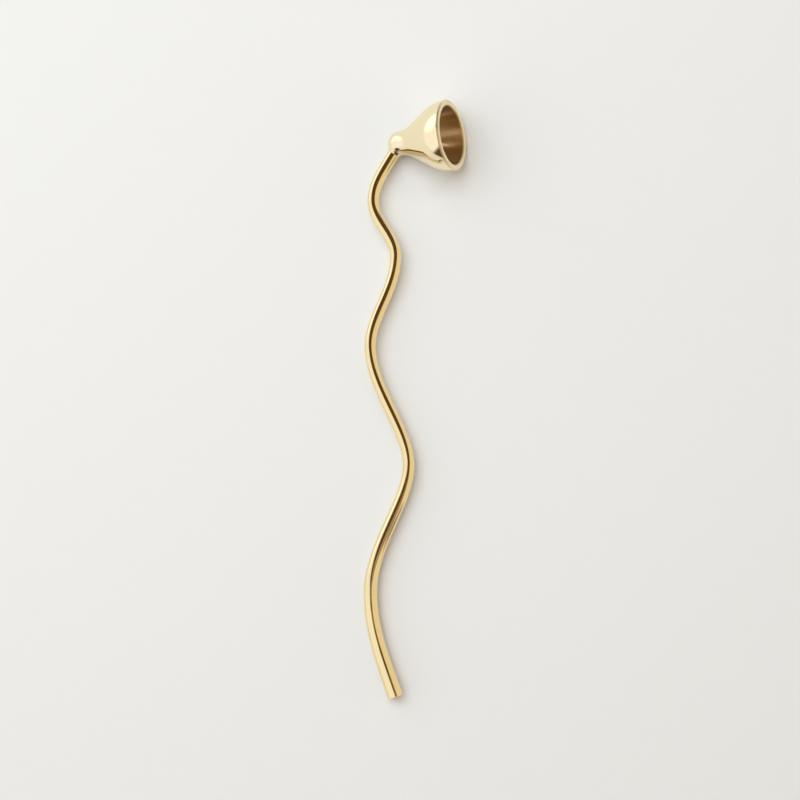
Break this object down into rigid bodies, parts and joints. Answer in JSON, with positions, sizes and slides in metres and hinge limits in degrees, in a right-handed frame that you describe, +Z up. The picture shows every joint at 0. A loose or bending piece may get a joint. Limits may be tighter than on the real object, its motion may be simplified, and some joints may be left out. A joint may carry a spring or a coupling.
{
  "type": "candle snuffer",
  "caption": "Candle snuffer of polished brass: a small flared bell with a thick rounded lip, set aslant on the end of a long rod that is bent into loose waves and swells to a flat tail.",
  "frame": {"origin": "middle of the outline seen from above, on the table that the snuffer lies on", "axes": "+X is the side that the bell opens to, +Y runs along the snuffer from the tail to the bell, +Z is up, with the waves lying flat on the table"},
  "size_m": [0.0436, 0.253, 0.0287],
  "materials": {
    "polished_brass": "mirror polished outside, satin as turned inside the bell",
    "brass_braze": "polished with the rod, a little softer"
  },
  "bodies": {
    "root": {"bell": "polished_brass", "handle": "polished_brass", "braze_fillet": "brass_braze"}
  },
  "joints": []
}
